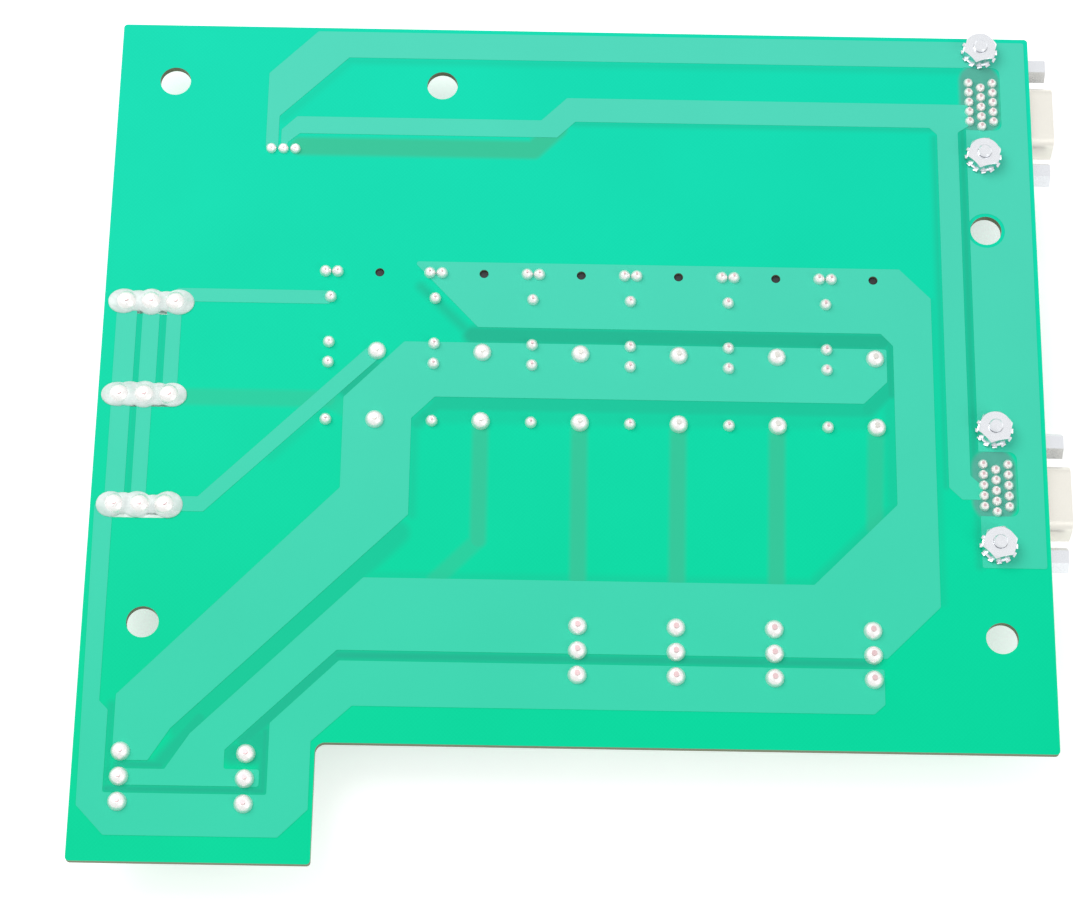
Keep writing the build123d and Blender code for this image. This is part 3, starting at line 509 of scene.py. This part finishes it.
# ---------------------------------------------------------------- joints and leads
class BOARD_OT_solder(bpy.types.Operator):
    """Bright solder joints and the lead ends that stand in them"""
    bl_idname = "board.solder"
    bl_label = "Solder and leads"

    def colour_ends(self, n, shader, spot, shade):
        """Change a lead's colour from below the board to its end above."""
        above = n.ramp(n.axes(spot)[2], BOARD_LOW.z / MM, BOARD_HIGH.z / MM)
        base = shader.inputs["Base Color"].links[0].from_socket
        n.feed(shader.inputs["Base Color"], n.mix(above, base, shade))

    def execute(self, context):
        look = context.scene.board_colours
        solder = grained("solder", look.solder[:], grain=0.5, lift=0.05, rough=(0.26, 0.46),
                         bump=0.05, metallic=0.62, drift=1.6)[0]
        dress(solder, "axial_joints", "contact_joints", "lamp_joints", "link_joints",
              "power_joints", "signal_joints")
        wire, n, shader, spot = grained("tinned_wire", look.tin[:], grain=0.12, lift=0.08,
                                        rough=(0.3, 0.5), bump=0.006, metallic=1.0)
        self.colour_ends(n, shader, spot, look.lead_tip)
        dress(wire, "lamp_leads", "resistor_leads", "diode_leads", "signal_pins",
              "header_pins")
        gold, n, shader, spot = grained("gold_contact", tint(232, 196, 120), grain=0.1,
                                        lift=0.04, rough=(0.22, 0.32), bump=0.003,
                                        metallic=1.0)
        self.colour_ends(n, shader, spot, look.lead_tip)
        dress(gold, "data_contacts")
        return {"FINISHED"}


class BOARD_OT_sealant(bpy.types.Operator):
    """Clear sealant brushed over the three link rows"""
    bl_idname = "board.sealant"
    bl_label = "Sealant films"

    VOXEL = 0.16 * MM
    SUNK = 0.03 * MM  # how far the film's flat underside lies below the top of the copper
    SPREAD = 0.3  # how far lumps stand off the row's middle, as a share of half the width

    # Lumps of each film: place along the row and across it, length, width and height,
    # as shares of the half length, of the spread, and of the film's own sizes
    LUMPS = [
        [(-0.64, 0.05, 0.37, 0.94, 0.9), (-0.3, 0.18, 0.34, 0.8, 0.7),
         (0.0, -0.06, 0.34, 1.0, 1.0), (0.34, 0.1, 0.3, 0.78, 0.7),
         (0.64, -0.04, 0.37, 0.96, 0.9)],
        [(-0.62, -0.02, 0.38, 0.9, 0.95), (-0.34, 0.14, 0.36, 0.92, 0.9),
         (0.0, 0.02, 0.36, 1.0, 1.0), (0.33, 0.1, 0.3, 0.86, 0.8),
         (0.64, 0.0, 0.35, 0.9, 0.85)],
        [(-0.66, -0.06, 0.34, 0.94, 0.9), (-0.4, 0.2, 0.34, 0.8, 0.95),
         (-0.06, -0.02, 0.36, 0.96, 1.0), (0.3, 0.06, 0.3, 0.7, 0.7),
         (0.64, 0.0, 0.35, 0.98, 0.9)],
    ]

    def execute(self, context):
        look, size = context.scene.board_colours, context.scene.board_sizes
        made, n, shader, spot = grained("clear_sealant", look.sealant[:], grain=0.5,
                                        lift=0.03, rough=(0.18, 0.34), bump=0.04,
                                        drift=3.0, Specular_IOR_Level=0.4)
        field = n.grain(spot, 0.8, 3.0)
        n.feed(shader.inputs["Alpha"], n.ramp(field["Drift"], 0.25, 0.75, 0.62, 0.86))
        for number, lumps in enumerate(self.LUMPS, 1):
            node = f"joint_sealant_{number}"
            low, high = (Vector(corner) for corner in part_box(node))
            middle = (low + high) / 2
            half_l = (high.x - low.x) / 2
            half_w = size.film_width / 2
            blobs = []
            for along, across, long, wide, tall in lumps:
                start_clean()
                bpy.ops.mesh.primitive_uv_sphere_add(
                    segments=40, ring_count=20, radius=1.0,
                    location=(middle.x + along * half_l,
                              middle.y + across * half_w * self.SPREAD, POUR_TOP),
                    scale=(long * half_l, wide * half_w, tall * size.film_height))
                blobs.append(bpy.context.object)
            film = join_as(f"link_film_{number}", blobs)
            apply_modifier(film, "REMESH", mode="VOXEL", voxel_size=self.VOXEL,
                           use_smooth_shade=True)
            apply_modifier(film, "SMOOTH", factor=0.6, iterations=8)
            select_only(film)
            bpy.ops.object.mode_set(mode="EDIT")
            bpy.ops.mesh.select_all(action="SELECT")
            bpy.ops.mesh.bisect(plane_co=(0, 0, POUR_TOP - self.SUNK), plane_no=(0, 0, 1),
                                use_fill=True, clear_inner=True)
            face_outwards(math.radians(40))
            finish_piece(film, made, node)
        return {"FINISHED"}


# ---------------------------------------------------------------- fixings
class BOARD_OT_fixings(bpy.types.Operator):
    """Nuts, screws and toothed lock washers of the data connectors"""
    bl_idname = "board.fixings"
    bl_label = "Connector fixings"

    SCREW_X = 183.45  # the screws' place across the board, then down it, in millimetres
    SCREW_ROWS = (3.455, 28.445, 90.755, 115.745)
    BORE = 1.6 * MM
    RING = 0.89  # the plain ring's radius as a share of the teeth's
    OVERLAP = 0.3 * MM  # how far a tooth reaches into the ring
    TOOTH_WIDTH, TOOTH_THICKNESS = 0.52, 0.72  # shares of the tooth pitch and of the ring

    def washer(self, name, centre, low, high, rim, size):
        """One lock washer with twisted teeth, standing from low to high."""
        middle, thick = (low + high) / 2, high - low
        ring = rim * self.RING
        start_clean()
        bpy.ops.mesh.primitive_cylinder_add(vertices=48, radius=ring, depth=thick,
                                            location=(centre.x, centre.y, middle))
        disc = bpy.context.object
        bpy.ops.object.mode_set(mode="EDIT")
        bpy.ops.mesh.select_mode(type="FACE")
        bpy.ops.mesh.select_all(action="DESELECT")
        bpy.ops.object.mode_set(mode="OBJECT")
        for face in disc.data.polygons:
            face.select = abs(face.normal.z) > 0.5
        bpy.ops.object.mode_set(mode="EDIT")
        bpy.ops.mesh.inset(thickness=ring - self.BORE, use_even_offset=False)
        bpy.ops.mesh.bridge_edge_loops()
        bpy.ops.object.mode_set(mode="OBJECT")
        pieces = [disc]
        reach = rim - ring
        middle_out = ring + reach / 2 - 0.16 * MM
        width = math.tau * rim / size.teeth * self.TOOTH_WIDTH
        for k in range(size.teeth):
            turn = math.tau * k / size.teeth
            start_clean()
            bpy.ops.mesh.primitive_cube_add(
                size=1.0,
                location=(centre.x + middle_out * math.cos(turn),
                          centre.y + middle_out * math.sin(turn), middle),
                rotation=(size.tooth_twist, 0.0, turn),
                scale=(reach + self.OVERLAP, width, thick * self.TOOTH_THICKNESS))
            pieces.append(bpy.context.object)
        made = join_as(name, pieces)
        apply_modifier(made, "BEVEL", width=0.07 * MM, segments=2, limit_method="ANGLE",
                       angle_limit=math.radians(40))
        select_only(made)
        bpy.ops.object.mode_set(mode="EDIT")
        face_outwards(math.radians(35))
        return made

    def execute(self, context):
        look, size = context.scene.board_colours, context.scene.board_sizes
        plated = grained("plated_hardware", look.hardware[:], grain=0.18, lift=0.05,
                         rough=(0.2, 0.36), bump=0.01, metallic=1.0, drift=2.5)[0]
        dress(plated, "fixing_screws", "lock_nuts", "jackscrews")
        low, high = (Vector(corner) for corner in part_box("lock_washers"))
        rim = (high.x - low.x) / 2 * 0.995  # a hair inside the CAD washer
        for number, y in enumerate(self.SCREW_ROWS, 1):
            made = self.washer(f"lock_washer_{number}", place(self.SCREW_X, y),
                               low.z, high.z, rim, size)
            finish_piece(made, plated, "lock_washers")
        return {"FINISHED"}


# ---------------------------------------------------------------- parts side
class BOARD_OT_fuses(bpy.types.Operator):
    """Fuse blocks with their clips and cartridge fuses"""
    bl_idname = "board.fuses"
    bl_label = "Fuses"

    def execute(self, context):
        look = context.scene.board_colours
        black = grained("black_moulding", look.moulding[:], grain=0.25, lift=0.22,
                        rough=(0.42, 0.62), bump=0.03, Specular_IOR_Level=0.45)[0]
        dress(black, "fuse_base", "signal_header")
        spring = grained("plated_spring", tint(214, 212, 206), grain=0.15, lift=0.06,
                         rough=(0.24, 0.4), bump=0.006, metallic=1.0)[0]
        dress(spring, "fuse_clips")
        cap = grained("plated_cap", tint(224, 222, 220), grain=0.2, lift=0.05,
                      rough=(0.14, 0.3), bump=0.008, metallic=1.0)[0]
        dress(cap, "fuse_caps")
        glass, n, shader = surface("fuse_glass", (0.94, 0.98, 0.97), 0.03,
                                   Transmission_Weight=1.0, IOR=1.47)
        drift = n.grain(n.spot(), 0.6, 5.0)["Drift"]
        n.feed(shader.inputs["Roughness"], n.ramp(drift, 0.3, 0.7, 0.02, 0.07))
        dress(glass, "fuse_tubes")
        wire = grained("fuse_wire", tint(196, 186, 170), grain=0.1, lift=0.08,
                       rough=(0.3, 0.45), bump=0.003, metallic=1.0)[0]
        dress(wire, "fuse_elements")
        return {"FINISHED"}


class BOARD_OT_small_parts(bpy.types.Operator):
    """Status lamps, banded resistors and guard diodes"""
    bl_idname = "board.small_parts"
    bl_label = "Lamps, resistors and diodes"

    # Rings of colour: place down the board and half width in millimetres, colour
    RESISTOR_RINGS = ((65.9, 0.3, tint(120, 74, 42)), (67.2, 0.28, tint(28, 28, 30)),
                      (68.3, 0.28, tint(176, 44, 36)), (70.6, 0.26, tint(190, 152, 66)))
    DIODE_RINGS = ((82.6, 0.42, tint(206, 206, 204)),)

    def rings(self, n, shader, spot, rings, blur):
        """Rings of colour round bodies that lie along the board's y."""
        shade_now = shader.inputs["Base Color"].links[0].from_socket
        along = n.axes(spot)[1]
        for y, half, shade in rings:
            away = n.math("ABSOLUTE", n.math("SUBTRACT", along, place(0, y).y / MM))
            shade_now = n.mix(n.ramp(away, half - blur, half + blur, 1.0, 0.0),
                              shade_now, shade)
        n.feed(shader.inputs["Base Color"], shade_now)

    def execute(self, context):
        look = context.scene.board_colours
        lens = grained("lamp_lens", look.lens[:], grain=0.3, lift=0.05, rough=(0.1, 0.18),
                       bump=0.004, drift=3.0, Transmission_Weight=0.45, IOR=1.5,
                       Coat_Weight=0.4)[0]
        dress(lens, "status_lamp")
        body, n, shader, spot = grained("resistor_lacquer", look.resistor[:], grain=0.2,
                                        lift=0.05, rough=(0.2, 0.34), bump=0.006,
                                        Coat_Weight=0.5)
        self.rings(n, shader, spot, self.RESISTOR_RINGS, 0.08)
        dress(body, "lamp_resistors")
        dark, n, shader, spot = grained("diode_epoxy", tint(38, 38, 40), grain=0.2,
                                        lift=0.15, rough=(0.3, 0.46), bump=0.012)
        self.rings(n, shader, spot, self.DIODE_RINGS, 0.04)
        dress(dark, "guard_diodes")
        return {"FINISHED"}


class BOARD_OT_connectors(bpy.types.Operator):
    """Power headers and the two data connectors"""
    bl_idname = "board.connectors"
    bl_label = "Headers and data connectors"

    def execute(self, context):
        look = context.scene.board_colours
        nylon = grained("header_moulding", look.header[:], grain=0.3, lift=0.05,
                        rough=(0.38, 0.54), bump=0.02, Subsurface_Weight=0.12,
                        Subsurface_Radius=(0.9 * MM, 0.8 * MM, 0.6 * MM),
                        Subsurface_Scale=1.0)[0]
        dress(nylon, "feed_header", "output_header", "link_header")
        shell = grained("plated_steel", look.shell[:], grain=0.12, lift=0.05,
                        rough=(0.26, 0.42), bump=0.008, metallic=1.0, drift=4.0)[0]
        dress(shell, "data_shell")
        core = grained("connector_moulding", look.insulator[:], grain=0.25, lift=0.14,
                       rough=(0.4, 0.56), bump=0.02)[0]
        dress(core, "data_insulator")
        return {"FINISHED"}


# ---------------------------------------------------------------- stage
class BOARD_OT_stage(bpy.types.Operator):
    """Camera, soft lamps, surround and pale floor"""
    bl_idname = "board.stage"
    bl_label = "Stage"

    FLOOR_SIZE, FLOOR_GAP = 6.0, 0.0004
    FLOOR_COLOUR, FLOOR_GLOW = (0.84, 0.84, 0.835), 0.52

    def lamp(self, name, spot, size, power):
        """A large round lamp that looks at the middle of the board."""
        start_clean()
        bpy.ops.object.light_add(type="AREA", location=spot)
        made = bpy.context.object
        made.name = name
        made.data.shape = "DISK"
        made.data.size = size
        made.data.energy = power
        made.rotation_euler = (-Vector(spot)).to_track_quat("-Z", "Y").to_euler()

    def backdrop_rays(self, n):
        """1 for rays that see the background itself, 0 for those that light the board."""
        path = n.add("ShaderNodeLightPath").outputs
        seen = n.math("MAXIMUM", path["Is Camera Ray"], path["Is Glossy Ray"])
        return n.math("MAXIMUM", seen, path["Is Transmission Ray"])

    def execute(self, context):
        scene, studio = context.scene, context.scene.board_studio
        scene.view_settings.view_transform = "Standard"
        start_clean()
        bpy.ops.object.camera_add()
        camera = bpy.context.object
        camera.name = "board_camera"
        camera.data.lens = studio.lens
        camera.data.sensor_width = 36
        camera.data.sensor_fit = "HORIZONTAL"
        camera.data.clip_start, camera.data.clip_end = 0.01, 20
        camera.matrix_world = (Matrix.Translation(studio.eye)
                               @ Matrix.Rotation(studio.heading, 4, "Z")
                               @ Matrix.Rotation(studio.tilt, 4, "X")
                               @ Matrix.Rotation(studio.roll, 4, "Z"))
        scene.camera = camera

        self.lamp("key_lamp", (-0.55, 0.45, 0.95), 0.9, studio.key_power)
        self.lamp("fill_lamp", (0.75, -0.5, 0.8), 0.8, studio.fill_power)

        world = bpy.data.worlds.new("board_surround")
        scene.world = world
        world.use_nodes = True
        n = Nodes(world.node_tree)
        world.node_tree.nodes.clear()
        glow = n.add("ShaderNodeBackground")
        n.feed(glow.inputs["Color"], (1.0, 1.0, 1.0))
        n.feed(glow.inputs["Strength"], n.ramp(self.backdrop_rays(n), 0.0, 1.0,
                                               studio.surround, 1.0))
        n.output("ShaderNodeOutputWorld", glow.outputs[0])

        start_clean()
        bpy.ops.mesh.primitive_plane_add(size=self.FLOOR_SIZE,
                                         location=(0, 0, -self.FLOOR_GAP))
        floor = bpy.context.object
        floor.name = "floor"
        pale = bpy.data.materials.new("pale_floor")
        pale.use_nodes = True
        n = Nodes(pale.node_tree)
        pale.node_tree.nodes.clear()
        matt = n.add("ShaderNodeBsdfDiffuse")
        n.feed(matt.inputs["Color"], self.FLOOR_COLOUR)
        lift = n.add("ShaderNodeEmission")
        n.feed(lift.inputs["Strength"],
               n.math("MULTIPLY", self.backdrop_rays(n), self.FLOOR_GLOW))
        both = n.add("ShaderNodeAddShader")
        n.join(matt.outputs[0], both.inputs[0])
        n.join(lift.outputs[0], both.inputs[1])
        n.output("ShaderNodeOutputMaterial", both.outputs[0])
        floor.data.materials.append(pale)
        return {"FINISHED"}


class BOARD_PT_steps(bpy.types.Panel):
    """Lists the steps and their settings"""
    bl_idname = "BOARD_PT_steps"
    bl_label = "Power distribution board"
    bl_space_type = "VIEW_3D"
    bl_region_type = "UI"
    bl_category = "Board"

    def draw(self, context):
        layout = self.layout
        for step in STEPS:
            layout.operator(step.bl_idname)
        for group in (context.scene.board_colours, context.scene.board_sizes,
                      context.scene.board_studio):
            box = layout.box()
            for key in group.__annotations__:
                box.prop(group, key)


SETTINGS = {"board_colours": BoardColours, "board_sizes": BoardSizes,
            "board_studio": StudioSettings}
STEPS = (BOARD_OT_laminate, BOARD_OT_solder, BOARD_OT_sealant, BOARD_OT_fixings,
         BOARD_OT_fuses, BOARD_OT_small_parts, BOARD_OT_connectors, BOARD_OT_stage)


def register():
    for kind in (*SETTINGS.values(), *STEPS, BOARD_PT_steps):
        bpy.utils.register_class(kind)
    for name, kind in SETTINGS.items():
        setattr(bpy.types.Scene, name, PointerProperty(type=kind))


def unregister():
    for name in SETTINGS:
        delattr(bpy.types.Scene, name)
    for kind in (BOARD_PT_steps, *reversed(STEPS), *SETTINGS.values()):
        bpy.utils.unregister_class(kind)


def main():
    """Build everything in order."""
    register()
    bpy.ops.board.laminate()
    bpy.ops.board.solder()
    bpy.ops.board.sealant()
    bpy.ops.board.fixings()
    bpy.ops.board.fuses()
    bpy.ops.board.small_parts()
    bpy.ops.board.connectors()
    bpy.ops.board.stage()
    start_clean()


if __name__ == "__main__":
    main()
